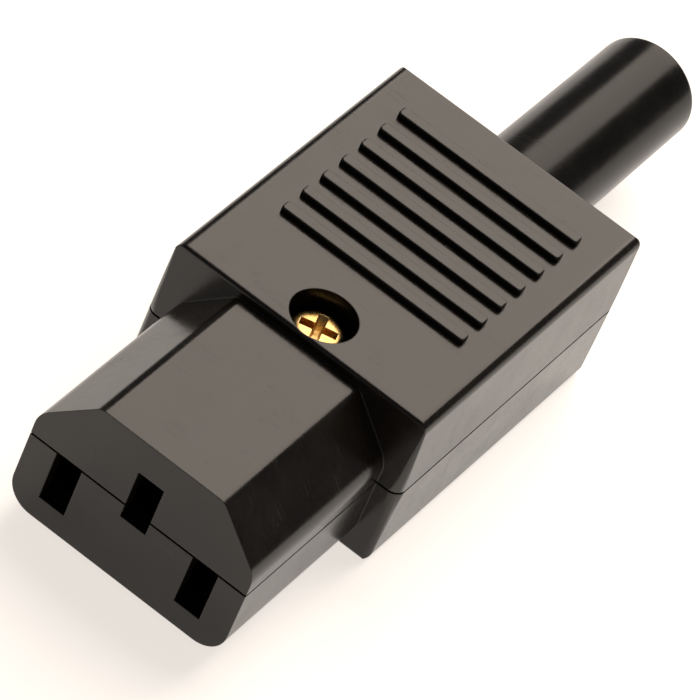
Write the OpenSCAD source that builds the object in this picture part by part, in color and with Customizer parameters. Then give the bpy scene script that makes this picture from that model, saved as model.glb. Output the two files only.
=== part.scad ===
// Rewireable three-pole appliance connector of the C13 pattern: two moulded half shells
// held by one screw, three folded contacts with screw terminals, a cord clamp and a
// rubber cord boot. Millimetres, +Z up, the nose towards -Y, resting on the lower shell.

/* [Mating pins] */
// Thickness of the flat pins that the contacts take
pin_t = 2.0; // [1.6:0.1:2.4]
// Height of the flat pins
pin_h = 4.0; // [3.4:0.1:4.4]
// Distance between the line and neutral pins
pin_pitch = 14.0; // [13:0.1:15]
// Height of the earth pin above the other two
earth_rise = 4.0; // [3.6:0.1:4.4]

/* [Nose] */
// Width of the nose
nose_w = 22.1; // [21:0.1:24]
// Height of the nose
nose_h = 14.8; // [14.4:0.1:16]
// Length of the nose in front of the housing
nose_l = 19.0; // [18:0.1:22]
// Leg of the two chamfers at the nose's top corners
nose_chamfer = 4.8; // [4:0.1:5.2]
// Radius of the nose's lower corners
nose_low_r = 2.6; // [1.5:0.1:3]
// Radius between a nose side and its chamfer
nose_side_r = 2.6; // [1:0.1:3]
// Radius between a chamfer and the nose's top
nose_top_r = 1.3; // [0.5:0.1:2]
// Height of the nose's underside above the base
nose_z = 0.8; // [0.6:0.1:1]
// Width of the pin slots
slot_w = 2.6; // [2.4:0.1:2.8]
// Height of the pin slots
slot_h = 5.3; // [5:0.1:5.5]
// Thickness of the nose's front wall
face_wall = 1.4; // [1:0.1:1.8]

/* [Housing] */
// Width of the housing at the parting line
body_w = 26.5; // [26:0.1:29]
// Length of the housing
body_l = 34.1; // [33.6:0.1:38]
// Height of the housing
body_h = 16.6; // [16.4:0.1:18]
// Height of the parting line
split_z = 8.4; // [8.2:0.1:8.6]
// Draft of the upper shell's walls, in degrees
upper_draft = 2.1; // [0:0.1:2.5]
// Draft of the lower shell's walls, in degrees
lower_draft = 1.0; // [0:0.1:2]
// Radius of the housing's upright corners
corner_r = 1.1; // [0.6:0.1:1.6]
// Radius of the housing's edges along its sides
side_edge_r = 1.0; // [0.4:0.1:1.4]
// Radius of the housing's edges at its front and back
end_edge_r = 0.4; // [0.2:0.1:0.4]
// Thickness of the housing's walls
wall = 1.9; // [1.6:0.1:2]
// Thickness of the lower shell's floor
floor_t = 1.6; // [1.2:0.1:1.8]
// Height of the groove along the parting line
seam_h = 0.2; // [0.1:0.05:0.3]
// Depth of the groove along the parting line
seam_d = 0.3; // [0.2:0.05:0.5]

/* [Grip ribs] */
// Number of grip ribs across the top
rib_count = 7; // [3:1:7]
// Distance from one grip rib to the next
rib_pitch = 2.95; // [2.6:0.05:3.1]
// Length of a grip rib
rib_l = 19.0; // [12:0.5:21]
// Width of a grip rib at its foot
rib_w = 1.3; // [1:0.1:1.6]
// Height of a grip rib
rib_h = 0.55; // [0.4:0.05:1]
// Radius of a grip rib's corners, seen from above
rib_corner_r = 0.35; // [0.1:0.05:0.5]
// Distance from the housing's front to the first rib
rib_setback = 10.2; // [9:0.1:11]

/* [Cover screw] */
// Distance from the housing's front to the cover screw
screw_setback = 3.5; // [3.5:0.1:4.2]
// Diameter of the cover screw's thread
screw_d = 2.5; // [2:0.1:3]
// Diameter of the cover screw's head
head_d = 4.6; // [4.2:0.1:5.2]
// Height of the cover screw's head
head_h = 1.7; // [1.4:0.1:2]
// Diameter of the recess round the cover screw
recess_d = 6.0; // [5.6:0.1:6.2]
// Depth of the recess
recess_depth = 3.2; // [2.6:0.1:3.4]
// Thickness of the seat under the screw's head
seat_t = 1.6; // [1.2:0.1:2]
// Diameter of the threaded insert in the lower shell
insert_d = 4.0; // [3.6:0.1:4.2]
// Length of the threaded insert
insert_l = 5.0; // [4:0.1:5.5]

/* [Contacts] */
// Thickness of the contact sheet
sheet_t = 0.5; // [0.4:0.05:0.6]
// Gap between a relaxed contact's leaves where they grip
grip_gap = 1.7; // [1.4:0.1:1.9]
// Gap between a contact's leaves at their roots and their mouth
root_gap = 2.8; // [2.6:0.1:3]
// Length of a contact's leaves
leaf_l = 10.4; // [10:0.1:11]
// Distance from the nose's front wall back to the contacts
contact_setback = 3.0; // [2.6:0.1:3.2]
// Width of the line and neutral contact tails
tail_w = 2.8; // [2:0.1:3]
// Width of the earth contact's tail beside the screw boss
bypass_w = 1.8; // [1.4:0.1:1.8]

/* [Terminals] */
// Width of a terminal block
block_w = 5.0; // [4.8:0.1:5.2]
// Length of a terminal block
block_l = 6.0; // [5.4:0.1:6.2]
// Thickness of a terminal block below its tunnel
block_floor = 1.0; // [0.8:0.1:1.1]
// Thickness of a terminal block above its tunnel
block_roof = 2.0; // [1.6:0.1:2.2]
// Width of the wire tunnel
tunnel_w = 3.3; // [3.1:0.1:3.5]
// Height of the wire tunnel
tunnel_h = 3.2; // [2.8:0.1:3.3]
// Diameter of the terminal screws' thread
wire_screw_d = 2.5; // [2:0.1:3]
// Diameter of the terminal screws' heads
wire_head_d = 4.0; // [3.6:0.1:4.2]
// Height of the terminal screws' heads
wire_head_h = 1.3; // [1:0.1:1.4]
// Thickness of the wire guards under the screws
guard_t = 0.4; // [0.3:0.05:0.5]

/* [Cord clamp] */
// Diameter of the cord that the clamp and the boot take
cord_d = 7.0; // [6:0.1:7.2]
// Distance from the housing's side to a clamp screw
clamp_inset = 5.25; // [5.1:0.05:5.4]
// Length of the clamp along the cord
clamp_l = 4.4; // [4:0.1:4.8]
// Thickness of the clamp's ears and arch
clamp_t = 1.9; // [1.5:0.1:2.1]
// Diameter of the clamp screws' thread
clamp_screw_d = 2.5; // [2:0.1:2.8]
// Diameter of the clamp screws' heads
clamp_head_d = 4.6; // [4:0.1:4.8]
// Height of the clamp screws' heads
clamp_head_h = 1.6; // [1.2:0.1:1.8]
// Length of the clamp screws' threads
clamp_screw_l = 7.0; // [6:0.1:7.5]

/* [Cord boot] */
// Length of the boot behind the housing
boot_l = 25.3; // [20:0.1:32]
// Diameter of the boot where it leaves the housing
boot_d = 9.8; // [9.4:0.1:10.4]
// Diameter of the boot at its end
boot_tip_d = 9.5; // [9:0.1:10]
// Diameter of the boot's collar inside the housing
collar_d = 12.0; // [11.4:0.1:12.2]
// Thickness of the boot's collar
collar_t = 1.8; // [1.4:0.1:2]
// Radius of the boot's end rim
boot_rim_r = 0.9; // [0.4:0.1:1]

/* [Fits] */
// Gap between pieces that are pushed together
fit_gap = 0.1; // [0.05:0.01:0.15]
// Gap round a thread in its hole
thread_gap = 0.05; // [0.02:0.01:0.08]

/* [Hidden] */
$fn = 48;
POLES = ["line", "neutral", "earth"];

// Overlap of cuts beyond the surfaces that they open
cut = 1;

// Heights
nose_top = nose_z + nose_h;
ceiling_z = body_h - wall;
pin_z = split_z - slot_h / 2;
earth_z = pin_z + earth_rise;
seat_z = body_h - recess_depth;

// Stations along the connector, from the nose's face
front_y = nose_l;
rear_y = nose_l + body_l;
end_y = rear_y + boot_l;
chamber_front = front_y + wall;
chamber_rear = rear_y - wall;
screw_y = front_y + screw_setback;
collar_y = chamber_rear - fit_gap - collar_t;

// Collar rib in front of the boot's collar: thickness, width beyond the collar, play round the cord
collar_rib_t = 1.2;
collar_rib_side = 1.5;
cord_play = 0.8;
collar_rib_y = collar_y - fit_gap - collar_rib_t;

// Clamp and terminals: the clamp in front of the collar rib, room for the wires' bends in front
// of the clamp, and the line and neutral blocks at their own distance from the housing's front
clamp_clearance = 0.8;
wire_room = 2.3;
block_setback = 8.0;
clamp_y = collar_rib_y - clamp_clearance - clamp_l / 2;
clamp_pitch = body_w - 2 * clamp_inset;
line_block_y = front_y + block_setback;
earth_block_y = clamp_y - clamp_l / 2 - wire_room - block_l;

// Contacts: clearance under the pin, gap to the pocket's walls, length of the folded root, room
// behind the leaves' roots
pin_clearance = 0.2;
pocket_gap = 0.25;
root_l = 4.0;
root_clearance = 1.5;
leaf_relief = 0.15;
tail_clearance = 0.4;
contact_front = face_wall + contact_setback;
pocket_half = root_gap / 2 + sheet_t + pocket_gap;
pocket_rear = contact_front + leaf_l + root_clearance;

// Bosses: wall round the insert, round a clamp screw and round the cover screw's recess
insert_wall = 0.7;
post_wall = 1.1;
tower_wall = 1.3;
boss_r = insert_d / 2 + insert_wall;
post_r = clamp_screw_d / 2 + post_wall;

// Gaps left past the ends of the screws in their holes, and over heads and clamp under the cover
insert_end_gap = 0.8;
clamp_end_gap = 0.5;
cover_gap = 0.2;
head_gap = 0.3;

function pole_x(pole) = pole == "line" ? -pin_pitch / 2 : pole == "neutral" ? pin_pitch / 2 : 0;
function pole_z(pole) = pole == "earth" ? earth_z : pin_z;
function web_z(pole) = pole_z(pole) - pin_h / 2 - pin_clearance - sheet_t;
function block_y(pole) = pole == "earth" ? earth_block_y : line_block_y;
function block_z(pole) = web_z(pole) - block_floor;
function block_top(pole) = web_z(pole) + tunnel_h + block_roof;

// Box between two opposite corners
module box(low, high) translate(low) cube(high - low);

// Profile drawn in X and Z, carried along Y from y0 to y1
module along_y(y0, y1) translate([0, y1, 0]) rotate([90, 0, 0]) linear_extrude(y1 - y0) children();

// Profile drawn in Y and Z, carried along X from x0 to x1
module along_x(x0, x1) translate([x0, 0, 0]) rotate([90, 0, 90]) linear_extrude(x1 - x0) children();

// Revolved profile whose own Z axis runs along Y
module spun_y(y, z) translate([0, y, z]) rotate([-90, 0, 0]) rotate_extrude() children();

// Convex outline, anticlockwise, with a true arc of its own radius at each corner
module rounded_outline(points, radii) {
    n = len(points);
    function unit(v) = v / norm(v);
    back = [for (i = [0:n - 1]) unit(points[(i + n - 1) % n] - points[i])];
    ahead = [for (i = [0:n - 1]) unit(points[(i + 1) % n] - points[i])];
    half = [for (i = [0:n - 1]) acos(back[i] * ahead[i]) / 2];
    reach = [for (i = [0:n - 1]) radii[i] / tan(half[i])];
    polygon([for (i = [0:n - 1]) each radii[i] == 0
        ? [points[i]]
        : [points[i] + back[i] * reach[i], points[i] + ahead[i] * reach[i]]]);
    for (i = [0:n - 1]) if (radii[i] > 0)
        translate(points[i] + unit(back[i] + ahead[i]) * radii[i] / sin(half[i])) circle(radii[i]);
}

module rounded_rectangle(low, high, r)
    rounded_outline([low, [high.x, low.y], high, [low.x, high.y]], [r, r, r, r]);

// Cross-section of the nose, moved inwards by inset; its corners keep a least radius
least_r = 0.3;
module nose_section(inset = 0) {
    side = nose_w / 2 - inset;
    low = nose_z + inset;
    top = nose_top - inset;
    leg = nose_chamfer - inset * (2 - sqrt(2));
    low_r = max(nose_low_r - inset, least_r);
    side_r = max(nose_side_r - inset, least_r);
    top_r = max(nose_top_r - inset, least_r);
    rounded_outline(
        [[-side, low], [side, low], [side, top - leg], [side - leg, top], [leg - side, top],
            [-side, top - leg]],
        [low_r, low_r, side_r, top_r, top_r, side_r]
    );
}

// Plan of nose and housing at the parting line, moved inwards by inset
module plan(inset = 0) {
    side = body_w / 2 - inset;
    nose_side = nose_w / 2 - inset;
    rounded_rectangle([-side, front_y + inset], [side, rear_y - inset], corner_r);
    translate([-nose_side, inset]) square([2 * nose_side, front_y + corner_r]);
}

// One half of the housing: drafted walls, rounded edges and upright corners
module housing_half(far_z, draft) {
    lean = abs(far_z - split_z) * tan(draft);
    side = body_w / 2;
    function turned(points) = far_z > split_z ? points : [for (i = [len(points) - 1:-1:0]) points[i]];
    function radii(r) = far_z > split_z ? [0, 0, r, r] : [r, r, 0, 0];
    intersection() {
        along_y(front_y, rear_y) rounded_outline(turned([[-side, split_z], [side, split_z],
            [side - lean, far_z], [lean - side, far_z]]), radii(side_edge_r));
        along_x(-side, side) rounded_outline(turned([[front_y, split_z], [rear_y, split_z],
            [rear_y - lean, far_z], [front_y + lean, far_z]]), radii(end_edge_r));
        linear_extrude(body_h) rounded_rectangle([-side, front_y], [side, rear_y], corner_r);
    }
}

// Everything on one side of the parting line
module half_space(upper) {
    z0 = upper ? split_z : -cut;
    z1 = upper ? body_h + cut : split_z;
    box([-body_w, -cut, z0], [body_w, end_y, z1]);
}

module nose_half(upper) intersection() {
    along_y(0, chamber_front) nose_section();
    half_space(upper);
}

// Wiring chamber of one half, with the open rear end of the nose
module chamber_half(upper) {
    side = body_w / 2 - wall;
    z0 = upper ? split_z - cut : floor_t;
    z1 = upper ? ceiling_z : split_z + cut;
    translate([0, 0, z0]) linear_extrude(z1 - z0)
        rounded_rectangle([-side, chamber_front], [side, chamber_rear], corner_r);
    intersection() {
        along_y(pocket_rear, chamber_front + cut) nose_section(wall);
        half_space(upper);
    }
}

// Pocket of one contact, and its slot through the nose's face
module contact_pocket(pole) {
    x = pole_x(pole);
    z = pole_z(pole);
    pocket_top = z + pin_h / 2 + pin_clearance + leaf_relief;
    top_z = pole == "earth" ? pocket_top : split_z + cut;
    slot_top = pole == "earth" ? z + slot_h / 2 : split_z + cut;
    box([x - pocket_half, face_wall, web_z(pole)], [x + pocket_half, pocket_rear + cut, top_z]);
    box([x - slot_w / 2, -cut, z - slot_h / 2], [x + slot_w / 2, face_wall + cut, slot_top]);
}

// Opening of the rear wall round the boot
module boot_opening() along_y(chamber_rear - cut, rear_y + cut)
    translate([0, split_z]) circle(boot_d / 2 + fit_gap);

// Collar rib that holds the boot's collar against the rear wall
module collar_rib() difference() {
    along_y(collar_rib_y, collar_rib_y + collar_rib_t)
        translate([-collar_d / 2 - collar_rib_side, 0]) square([collar_d + 2 * collar_rib_side, body_h]);
    along_y(collar_rib_y - cut, collar_rib_y + collar_rib_t + cut)
        translate([0, split_z]) circle(cord_d / 2 + cord_play);
}

// Tongue and groove along the sides of the parting line
tongue_t = 0.7;
tongue_h = 0.8;
tongue_inset = 2.0;
module tongue(gap) for (side = [-1, 1]) {
    inner = body_w / 2 - wall;
    x0 = min(side * (inner - gap - (gap > 0 ? cut : 0)), side * (inner + tongue_t + gap));
    x1 = max(side * (inner - gap - (gap > 0 ? cut : 0)), side * (inner + tongue_t + gap));
    box([x0, chamber_front + tongue_inset - gap, split_z - cut],
        [x1, chamber_rear - tongue_inset + gap, split_z + tongue_h + gap]);
}

// Hook at each rear corner of the upper shell, and its catch in the lower one
hook_w = 2.4;
hook_t = 0.9;
hook_drop = 2.0;
hook_root = 2.0;
hook_inset = 0.8;
hook_x = body_w / 2 - wall - hook_inset - hook_w / 2;
module hook(side, gap) {
    x = side * hook_x;
    half = hook_w / 2 + gap;
    box([x - half, chamber_rear - hook_t - gap, split_z - hook_drop - gap],
        [x + half, chamber_rear - fit_gap + gap, split_z]);
    box([x - half, chamber_rear - hook_t - gap, split_z - hook_drop - gap],
        [x + half, chamber_rear + hook_t - fit_gap + gap, split_z - hook_drop / 2 + gap]);
    if (gap == 0) box([x - half, chamber_rear - hook_t, split_z],
        [x + half, chamber_rear + wall / 2, split_z + hook_root]);
}

// Locating pegs between the contact pockets
peg_r = 0.7;
peg_l = 2.0;
peg_x = pin_pitch / 4;
peg_front = 2.0;
peg_rear = 2.5;
module pegs(gap) for (x = [-peg_x, peg_x], y = [contact_front + peg_front, pocket_rear - peg_rear])
    translate([x, y, split_z - peg_l - gap])
        cylinder(r = peg_r + gap, h = peg_l + gap + (gap > 0 ? cut : peg_l));

// Cradle of one terminal block: pad, corner stops and side walls
stop_w = 0.7;
stop_t = 0.8;
stop_h = 2.6;
module cradle(pole) {
    x = pole_x(pole);
    y0 = block_y(pole) - fit_gap;
    y1 = block_y(pole) + block_l + fit_gap;
    z = block_z(pole);
    stop_z = z + block_floor + stop_h;
    half = block_w / 2 + fit_gap;
    box([x - half, y0 - stop_t, 0], [x + half, y1 + stop_t, z]);
    for (side = [-1, 1]) {
        for (y = [y0 - stop_t, y1])
            box([x + min(side * half, side * (half - stop_w)), y, 0],
                [x + max(side * half, side * (half - stop_w)), y + stop_t, stop_z]);
        box([x + min(side * half, side * (half + stop_t)), y0 - stop_t, 0],
            [x + max(side * half, side * (half + stop_t)), y1 + stop_t, stop_z]);
    }
}

// Post of one clamp screw, on a web from the side wall
module clamp_post(side) {
    translate([side * clamp_pitch / 2, clamp_y, 0]) cylinder(r = post_r, h = split_z);
    box([min(side * clamp_pitch / 2, side * body_w / 2), clamp_y - stop_t / 2, 0],
        [max(side * clamp_pitch / 2, side * body_w / 2), clamp_y + stop_t / 2, split_z - 1]);
}

// Space for the cord through the clamp, less the two ridges that bite it
saddle_half = cord_d / 2 + clamp_t;
ridge_h = 0.35;
ridge_t = 0.6;
module cord_groove() {
    along_y(clamp_y - clamp_l, clamp_y + clamp_l) translate([0, split_z]) circle(cord_d / 2 - ridge_h);
    difference() {
        along_y(clamp_y - clamp_l, clamp_y + clamp_l) translate([0, split_z]) circle(cord_d / 2);
        for (y = [clamp_y - clamp_l / 4, clamp_y + clamp_l / 4])
            box([-cord_d, y - ridge_t / 2, 0], [cord_d, y + ridge_t / 2, body_h]);
    }
}

module saddle() difference() {
    box([-saddle_half, clamp_y - clamp_l / 2, 0], [saddle_half, clamp_y + clamp_l / 2, split_z]);
    cord_groove();
}

module lower_shell() color("#2f2c29") difference() {
    union() {
        housing_half(0, lower_draft);
        nose_half(false);
        tongue(0);
    }
    difference() {
        chamber_half(false);
        translate([0, screw_y, 0]) cylinder(r = boss_r, h = split_z);
        for (pole = POLES) cradle(pole);
        for (side = [-1, 1]) clamp_post(side);
        saddle();
        collar_rib();
        tongue(0);
    }
    for (pole = POLES) contact_pocket(pole);
    boot_opening();
    pegs(thread_gap);
    for (side = [-1, 1]) {
        hook(side, fit_gap);
        translate([side * clamp_pitch / 2, clamp_y, split_z - clamp_screw_l])
            cylinder(d = clamp_screw_d + 2 * thread_gap, h = clamp_screw_l + cut);
    }
    translate([0, screw_y, split_z - insert_l])
        cylinder(d = insert_d + 2 * thread_gap, h = insert_l + cut);
    translate([0, screw_y, floor_t])
        cylinder(d = screw_d + 2 * thread_gap, h = split_z);
}

// Boss that carries the cover screw's recess, and the sleeve under its seat
module screw_tower() {
    translate([0, screw_y, seat_z - seat_t]) cylinder(r = recess_d / 2 + tower_wall, h = body_h);
    translate([0, screw_y, split_z]) cylinder(r = boss_r, h = body_h);
}

// Hollows that keep the upper half of the nose to an even wall, less their cross ribs
hollow_setback = 0.8;
hollow_front = face_wall + hollow_setback;
module nose_hollows() difference() {
    intersection() {
        for (x = [-pin_pitch / 2, pin_pitch / 2])
            box([x - pocket_half, hollow_front, split_z - cut], [x + pocket_half, pocket_rear + cut, nose_top]);
        along_y(hollow_front, pocket_rear + cut) nose_section(wall);
    }
    for (step = [1, 2]) {
        y = hollow_front + step * (pocket_rear - hollow_front) / 3;
        box([-nose_w, y - stop_t / 2, 0], [nose_w, y + stop_t / 2, body_h]);
    }
}

// Rib from the upper shell's ceiling down to the rear edge of one terminal block
module hold_down(pole) {
    y1 = block_y(pole) + block_l;
    y0 = y1 - (block_l - wire_head_d) / 2 + fit_gap;
    box([pole_x(pole) - block_w / 2, y0, block_top(pole) + fit_gap], [pole_x(pole) + block_w / 2, y1, body_h]);
}

// Relief in the cover over the clamp's arch and over the earth terminal's screw
module cover_relief() {
    box([-saddle_half - cover_gap, clamp_y - clamp_l / 2 - cover_gap, split_z],
        [saddle_half + cover_gap, clamp_y + clamp_l / 2 + cover_gap, split_z + saddle_half + cover_gap]);
    translate([0, earth_block_y + block_l / 2, split_z])
        cylinder(d = wire_head_d + 2 * cover_gap,
            h = block_top("earth") + head_lift + wire_head_h + cover_gap - split_z);
}

// Grip rib with its front foot at y: drafted faces, rounded corners, softened top edges
rib_draft = 0.08;
rib_edge_r = 0.14;
module grip_rib(y) intersection() {
    along_x(-rib_l / 2, rib_l / 2) translate([y, body_h]) rounded_outline(
        [[0, -cut], [rib_w, -cut], [rib_w - rib_draft, rib_h], [rib_draft, rib_h]],
        [0, 0, rib_edge_r, rib_edge_r]);
    linear_extrude(body_h + rib_h + cut)
        rounded_rectangle([-rib_l / 2, y], [rib_l / 2, y + rib_w], rib_corner_r);
}

module upper_shell() color("#332f2c") {
    difference() {
        union() {
            housing_half(body_h, upper_draft);
            nose_half(true);
            for (i = [0:rib_count - 1]) grip_rib(front_y + rib_setback + i * rib_pitch);
        }
        difference() {
            chamber_half(true);
            screw_tower();
            for (pole = POLES) hold_down(pole);
            collar_rib();
            for (side = [-1, 1]) hook(side, 0);
        }
        contact_pocket("earth");
        cover_relief();
        nose_hollows();
        boot_opening();
        tongue(fit_gap);
        translate([0, screw_y, seat_z]) cylinder(d = recess_d, h = recess_depth + cut);
        translate([0, screw_y, split_z - cut]) cylinder(d = screw_d + 4 * thread_gap, h = body_h);
        difference() {
            box([-body_w, -cut, split_z - cut], [body_w, end_y, split_z + seam_h]);
            translate([0, 0, split_z - 2 * cut]) linear_extrude(3 * cut) plan(seam_d);
        }
    }
    for (side = [-1, 1]) intersection() {
        hook(side, 0);
        half_space(false);
    }
    pegs(0);
}

// Screw with the underside of its head at z = 0 and its shank towards -Z
module screw(shank_d, shank_l, round_d, round_h, rim_r) {
    rotate_extrude() rounded_outline(
        [[0, 0], [round_d / 2, 0], [round_d / 2, round_h], [0, round_h]], [0, 0, rim_r, 0]);
    tip = shank_d / 5;
    rotate_extrude() polygon([[0, cut / 2], [shank_d / 2, cut / 2], [shank_d / 2, tip - shank_l],
        [shank_d / 2 - tip, -shank_l], [0, -shank_l]]);
}

// Cross recess in a screw's head, its arms' reach, half width and depth as shares of the head
cross_reach = 0.38;
cross_half = 0.09;
cross_deep = 0.6;
module cross_recess(round_d, round_h) for (turn = [0, 90])
    rotate(turn) box([-cross_reach * round_d, -cross_half * round_d, -cross_deep * round_h],
        [cross_reach * round_d, cross_half * round_d, cut]);

module cover_screw() color("#c9a24a") translate([0, screw_y, seat_z]) difference() {
    screw(screw_d, seat_z - split_z + insert_l - insert_end_gap, head_d, head_h, head_h / 2);
    translate([0, 0, head_h]) cross_recess(head_d, head_h);
}

module threaded_insert() color("#b8923f") translate([0, screw_y, split_z - insert_l]) difference() {
    cylinder(d = insert_d, h = insert_l);
    translate([0, 0, -cut]) cylinder(d = screw_d + 2 * thread_gap, h = insert_l + 2 * cut);
}

// Plan of one contact leaf, from its mouth at y = 0 back to its root: the grip's and the root's
// places as shares of the leaf, and the length of the flat that grips
grip_share = 0.16;
root_share = 0.62;
grip_flat = 0.8;
module leaf_plan() {
    grip = grip_gap / 2;
    open = root_gap / 2;
    grip_y = leaf_l * grip_share;
    inner = [[open, 0], [grip, grip_y], [grip, grip_y + grip_flat], [open, leaf_l * root_share], [open, leaf_l]];
    polygon(concat(inner, [for (i = [len(inner) - 1:-1:0]) inner[i] + [sheet_t, 0]]));
}

floor_setback = 0.6;
module contact_leaves(pole) {
    z = web_z(pole);
    leaf_top = pole_z(pole) + pin_h / 2;
    for (side = [0, 1]) mirror([side, 0, 0]) {
        translate([0, contact_front, z + sheet_t + leaf_relief])
            linear_extrude(leaf_top - z - sheet_t - leaf_relief) leaf_plan();
        box([root_gap / 2, contact_front + leaf_l - root_l, z],
            [root_gap / 2 + sheet_t, contact_front + leaf_l, leaf_top]);
    }
    translate([0, 0, z]) linear_extrude(sheet_t) {
        translate([-grip_gap / 2, contact_front + floor_setback]) square([grip_gap, leaf_l - floor_setback]);
        translate([-root_gap / 2 - sheet_t, contact_front + leaf_l - root_l])
            square([root_gap + 2 * sheet_t, root_l]);
    }
}

module straight_contact(pole) color("#c7a35a") translate([pole_x(pole), 0, 0]) {
    contact_leaves(pole);
    box([-tail_w / 2, contact_front + leaf_l - cut, web_z(pole)],
        [tail_w / 2, block_y(pole) + block_l - stop_t, web_z(pole) + sheet_t]);
}
module line_contact() straight_contact("line");
module neutral_contact() straight_contact("neutral");

// The earth contact's tail passes beside the screw boss and comes back to the middle
module earth_contact() color("#c7a35a") {
    bypass_x = boss_r + tail_clearance;
    step = bypass_x + bypass_w / 2;
    tail_0 = contact_front + leaf_l;
    out_y = screw_y - boss_r - tail_clearance;
    back_y = screw_y + boss_r + tail_clearance;
    contact_leaves("earth");
    translate([0, 0, web_z("earth")]) linear_extrude(sheet_t) {
        polygon([[-bypass_w / 2, tail_0 - cut], [bypass_w / 2, tail_0 - cut], [bypass_w / 2, pocket_rear],
            [bypass_x + bypass_w, out_y], [bypass_x + bypass_w, back_y], [bypass_w / 2, back_y + step],
            [bypass_w / 2, earth_block_y], [tail_w / 2, earth_block_y],
            [tail_w / 2, earth_block_y + block_l - stop_t], [-tail_w / 2, earth_block_y + block_l - stop_t],
            [-tail_w / 2, earth_block_y], [-bypass_w / 2, earth_block_y], [-bypass_w / 2, back_y + step],
            [bypass_x, back_y], [bypass_x, out_y], [-bypass_w / 2, pocket_rear]]);
    }
}

// Tunnel block: rounded uprights, square wire tunnel, threaded hole from the top
module terminal_block(pole) color("#b8923f") translate([pole_x(pole), block_y(pole), 0]) difference() {
    translate([0, 0, block_z(pole)]) linear_extrude(block_top(pole) - block_z(pole))
        rounded_rectangle([-block_w / 2, 0], [block_w / 2, block_l], 0.5);
    box([-tunnel_w / 2, -cut, web_z(pole)], [tunnel_w / 2, block_l + cut, web_z(pole) + tunnel_h]);
    translate([0, block_l / 2, web_z(pole) + sheet_t])
        cylinder(d = wire_screw_d + 2 * thread_gap, h = block_top(pole));
}
module line_terminal_block() terminal_block("line");
module neutral_terminal_block() terminal_block("neutral");
module earth_terminal_block() terminal_block("earth");

// Slotted terminal screw, its tip on the wire guard and its head just over the block
head_lift = 0.3;
head_edge_r = 0.3;
slot_half = 0.3;
slot_floor = 0.45;
module terminal_screw(pole) color("#c9a24a") {
    guard_top = web_z(pole) + sheet_t + guard_t;
    seat = block_top(pole) + head_lift;
    translate([pole_x(pole), block_y(pole) + block_l / 2, seat]) difference() {
        screw(wire_screw_d, seat - guard_top, wire_head_d, wire_head_h, head_edge_r);
        box([-wire_head_d, -slot_half, wire_head_h * slot_floor], [wire_head_d, slot_half, wire_head_h + cut]);
    }
}
module line_terminal_screw() terminal_screw("line");
module neutral_terminal_screw() terminal_screw("neutral");
module earth_terminal_screw() terminal_screw("earth");

// Leaf under the screw's tip, with a lip up the block's front face
module wire_guard(pole) color("#c7a35a") translate([pole_x(pole), block_y(pole), web_z(pole) + sheet_t]) {
    half = tail_w / 2;
    box([-half, -fit_gap / 2 - guard_t, 0], [half, block_l, guard_t]);
    box([-half, -fit_gap / 2 - guard_t, 0], [half, -fit_gap / 2, tunnel_h]);
}
module line_wire_guard() wire_guard("line");
module neutral_wire_guard() wire_guard("neutral");
module earth_wire_guard() wire_guard("earth");

// Arched bar over the cord, with an ear on each post
module cord_clamp() color("#2b2a28") difference() {
    intersection() {
        along_y(clamp_y - clamp_l / 2, clamp_y + clamp_l / 2) union() {
            translate([-clamp_pitch / 2 - post_r, split_z]) square([clamp_pitch + 2 * post_r, clamp_t]);
            intersection() {
                translate([0, split_z]) circle(saddle_half);
                translate([-saddle_half, split_z]) square([2 * saddle_half, saddle_half]);
            }
        }
        linear_extrude(body_h) rounded_rectangle([-clamp_pitch / 2 - post_r, clamp_y - clamp_l / 2],
            [clamp_pitch / 2 + post_r, clamp_y + clamp_l / 2], clamp_l / 3);
    }
    cord_groove();
    for (side = [-1, 1]) translate([side * clamp_pitch / 2, clamp_y, 0]) {
        translate([0, 0, split_z - cut]) cylinder(d = clamp_screw_d + 4 * thread_gap, h = clamp_t + 2 * cut);
        translate([0, 0, split_z + clamp_t]) cylinder(d = clamp_head_d + 2 * head_gap, h = body_h);
    }
}

module clamp_screw(side) color("#b9b7b2")
    translate([side * clamp_pitch / 2, clamp_y, split_z + clamp_t]) difference() {
        screw(clamp_screw_d, clamp_t + clamp_screw_l - clamp_end_gap,
            clamp_head_d, clamp_head_h, clamp_head_h / 2);
        translate([0, 0, clamp_head_h]) cross_recess(clamp_head_d, clamp_head_h);
    }
module left_clamp_screw() clamp_screw(-1);
module right_clamp_screw() clamp_screw(1);

// Rubber sleeve: collar, tapering body, rounded end rim, through bore for the cord
module cord_boot() color("#262524") spun_y(collar_y, split_z) difference() {
    reach = end_y - collar_y;
    union() {
        translate([0, collar_t - cut]) rounded_outline([[0, 0], [boot_d / 2, 0],
            [boot_tip_d / 2, reach - collar_t + cut], [0, reach - collar_t + cut]], [0, 0, boot_rim_r, 0]);
        square([collar_d / 2, collar_t]);
    }
    translate([0, -cut]) square([cord_d / 2 + fit_gap, reach + 2 * cut]);
}

// The origin lies under the middle of the connector, on the plane that it rests on
module placed() translate([0, -end_y / 2, 0]) children();

placed() lower_shell();
placed() upper_shell();
placed() cover_screw();
placed() threaded_insert();
placed() line_contact();
placed() neutral_contact();
placed() earth_contact();
placed() line_terminal_block();
placed() neutral_terminal_block();
placed() earth_terminal_block();
placed() line_terminal_screw();
placed() neutral_terminal_screw();
placed() earth_terminal_screw();
placed() line_wire_guard();
placed() neutral_wire_guard();
placed() earth_wire_guard();
placed() cord_clamp();
placed() left_clamp_screw();
placed() right_clamp_screw();
placed() cord_boot();
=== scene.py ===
import math

import bmesh
import bpy
from mathutils import Matrix, Vector


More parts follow.
